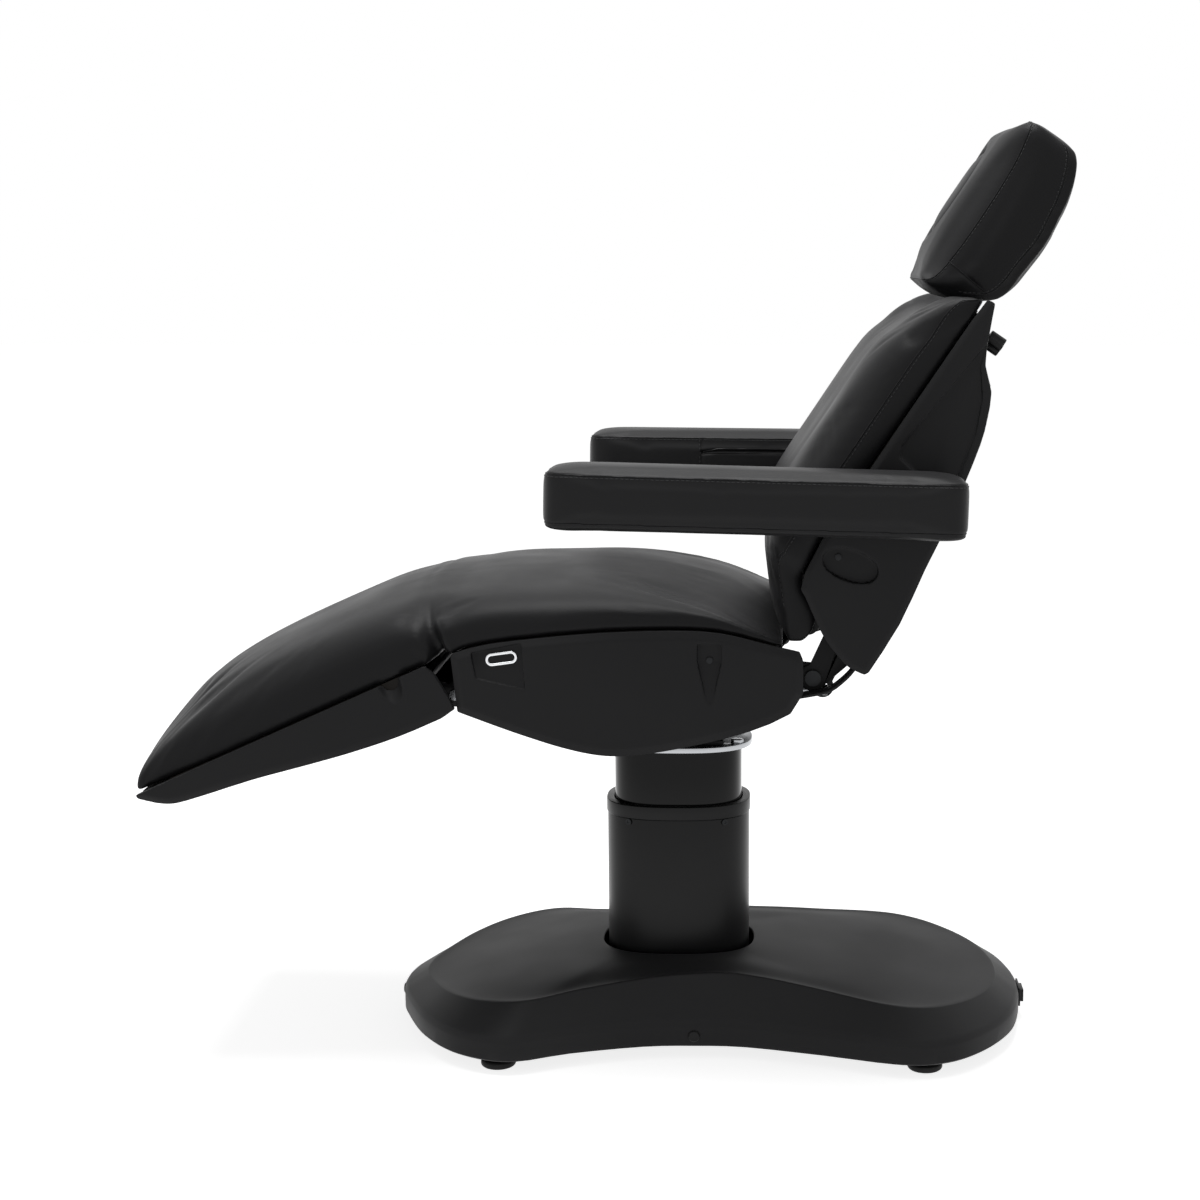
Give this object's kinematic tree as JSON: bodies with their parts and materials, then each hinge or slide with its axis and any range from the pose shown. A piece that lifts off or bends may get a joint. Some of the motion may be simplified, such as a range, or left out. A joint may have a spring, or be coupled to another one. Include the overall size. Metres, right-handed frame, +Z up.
{
  "type": "treatment chair",
  "caption": "Motorised treatment chair: a column on a waisted base lifts a tilting seat with a hinged leg rest, a reclining back, turning armrests and a sliding, tilting headrest.",
  "frame": {"origin": "on the floor under the middle of the chair's whole length; the lifting column's axis stands 0.1 m behind it, along +X", "axes": "+X towards the head end, +Z up, -Y the near long side; the chair is mirrored about Y = 0 but for small mechanism pieces"},
  "size_m": [1.4071, 0.8702, 1.4347],
  "materials": {
    "black_leatherette": "smooth black leatherette with a soft satin sheen, stitched seams",
    "black_moulding": "satin black moulded plastic with a fine grain",
    "base_cover": "satin charcoal moulded cover, slightly lighter on top",
    "casing_metal": "satin black powder coat",
    "inner_column": "glossy black sleeve",
    "black_rubber": "black rubber",
    "frame_steel": "dark grey painted steel",
    "bare_steel": "bright turned steel",
    "flange_steel": "light grey zinc plate",
    "chrome": "polished chrome",
    "birch_ply": "unfinished plywood",
    "nylon": "natural nylon",
    "motor_plastic": "dark grey motor housing"
  },
  "bodies": {
    "base": {"base_plate": "frame_steel", "base_cover": "base_cover", "levelling_feet": "black_rubber", "cover_caps": "black_rubber", "power_inlet": "black_moulding", "control_box": "motor_plastic", "column_casing": "casing_metal", "casing_collar": "casing_metal", "collar_screws": "frame_steel", "column_guides": "nylon", "lift_actuator": "motor_plastic"},
    "lift": {"inner_column": "inner_column", "lift_rod": "bare_steel", "column_flange": "flange_steel", "flange_bolts": "bare_steel", "tilt_bracket": "frame_steel"},
    "seat": {"seat_frame": "frame_steel", "tilt_pin": "bare_steel", "seat_board": "birch_ply", "seat_panel_near": "black_moulding", "seat_panel_far": "black_moulding", "bottom_cover": "black_moulding", "pivot_guards": "black_moulding", "seat_cushion": "black_leatherette", "leg_hinge_pins": "bare_steel", "back_pivot_pins": "frame_steel", "seat_panel_screws": "frame_steel", "leg_actuator": "motor_plastic", "back_actuator": "motor_plastic", "fold_cushion": "black_leatherette"},
    "leg_rest": {"leg_frame": "frame_steel", "leg_tray": "black_moulding", "leg_board": "birch_ply", "leg_cushion": "black_leatherette", "leg_screws": "frame_steel"},
    "backrest": {"back_frame": "frame_steel", "back_shell": "black_moulding", "back_panel_near": "black_moulding", "back_panel_far": "black_moulding", "back_cushion": "black_leatherette", "back_board": "birch_ply", "stay_rods": "chrome", "back_screws": "frame_steel", "headrest_guides": "black_moulding", "arm_bushes": "frame_steel"},
    "headrest_carrier": {"headrest_bars": "bare_steel"},
    "headrest": {"headrest_plate": "frame_steel", "headrest_pin": "bare_steel", "headrest_cushion": "black_leatherette"},
    "face_pad": {"face_insert": "black_leatherette"},
    "headrest_lock": {"headrest_lock_knob": "black_moulding"},
    "arm_near": {"arm_bracket_near": "frame_steel", "arm_pad_near": "black_leatherette"},
    "arm_far": {"arm_bracket_far": "frame_steel", "arm_pad_far": "black_leatherette"},
    "leg_push_rod": {"leg_rod": "bare_steel"},
    "back_push_rod": {"back_rod": "bare_steel"},
    "release_handle_near": {"release_lever_near": "chrome"},
    "release_handle_far": {"release_lever_far": "chrome"}
  },
  "joints": [
    {"name": "column_lift", "type": "slide", "parent": "base", "child": "lift", "axis": [0, 0, 1], "range_m": [-0.06, 0.19]},
    {"name": "seat_tilt", "type": "hinge", "parent": "lift", "child": "seat", "pos_m": [0.1, 0, 0.53], "axis": [0, 1, 0], "range_deg": [0, 14]},
    {"name": "leg_rest_fold", "type": "hinge", "parent": "seat", "child": "leg_rest", "pos_m": [-0.228, 0, 0.578], "axis": [0, 1, 0], "range_deg": [-45, 24], "deforming": ["fold_cushion"]},
    {"name": "backrest_recline", "type": "hinge", "parent": "seat", "child": "backrest", "pos_m": [0.312, 0, 0.613], "axis": [0, 1, 0], "range_deg": [0, 56]},
    {"name": "headrest_extend", "type": "slide", "parent": "backrest", "child": "headrest_carrier", "axis": [0.5592, 0, 0.829], "range_m": [0, 0.09]},
    {"name": "headrest_tilt", "type": "hinge", "parent": "headrest_carrier", "child": "headrest", "pos_m": [0.57869, 0, 1.2051], "axis": [0, 1, 0], "range_deg": [0, 40]},
    {"name": "face_pad_pull", "type": "slide", "parent": "headrest", "child": "face_pad", "axis": [-0.829, 0, 0.5592], "range_m": [0, 0.055]},
    {"name": "headrest_lock_turn", "type": "hinge", "parent": "backrest", "child": "headrest_lock", "pos_m": [0.62627, 0, 1.07892], "axis": [-0.829, 0, 0.5592], "range_deg": [0, 90]},
    {"name": "arm_near_fold", "type": "hinge", "parent": "backrest", "child": "arm_near", "pos_m": [0.42795, -0.313, 0.87253], "axis": [0, 1, 0], "range_deg": [-56, 100]},
    {"name": "arm_far_fold", "type": "hinge", "parent": "backrest", "child": "arm_far", "pos_m": [0.42795, 0.313, 0.87253], "axis": [0, 1, 0], "range_deg": [-56, 100]},
    {"name": "leg_rod_slide", "type": "slide", "parent": "seat", "child": "leg_push_rod", "axis": [1, 0, 0], "range_m": [-0.032, 0.018]},
    {"name": "back_rod_slide", "type": "slide", "parent": "seat", "child": "back_push_rod", "axis": [1, 0, 0], "range_m": [-0.037, 0.001]},
    {"name": "release_near_pull", "type": "hinge", "parent": "seat", "child": "release_handle_near", "pos_m": [-0.1459, -0.2948, 0.6622], "axis": [-1, 0, 0], "range_deg": [0, 26], "stiffness_Nm_per_rad": 0.3, "springref_deg": -11.46},
    {"name": "release_far_pull", "type": "hinge", "parent": "seat", "child": "release_handle_far", "pos_m": [-0.1459, 0.2948, 0.6622], "axis": [1, 0, 0], "range_deg": [0, 26], "stiffness_Nm_per_rad": 0.3, "springref_deg": -11.46}
  ],
  "couplings": [
    {"joint": "leg_rod_slide", "follows": "leg_rest_fold", "m_per_rad": 0.03995},
    {"joint": "back_rod_slide", "follows": "backrest_recline", "m_per_rad": -0.037}
  ]
}
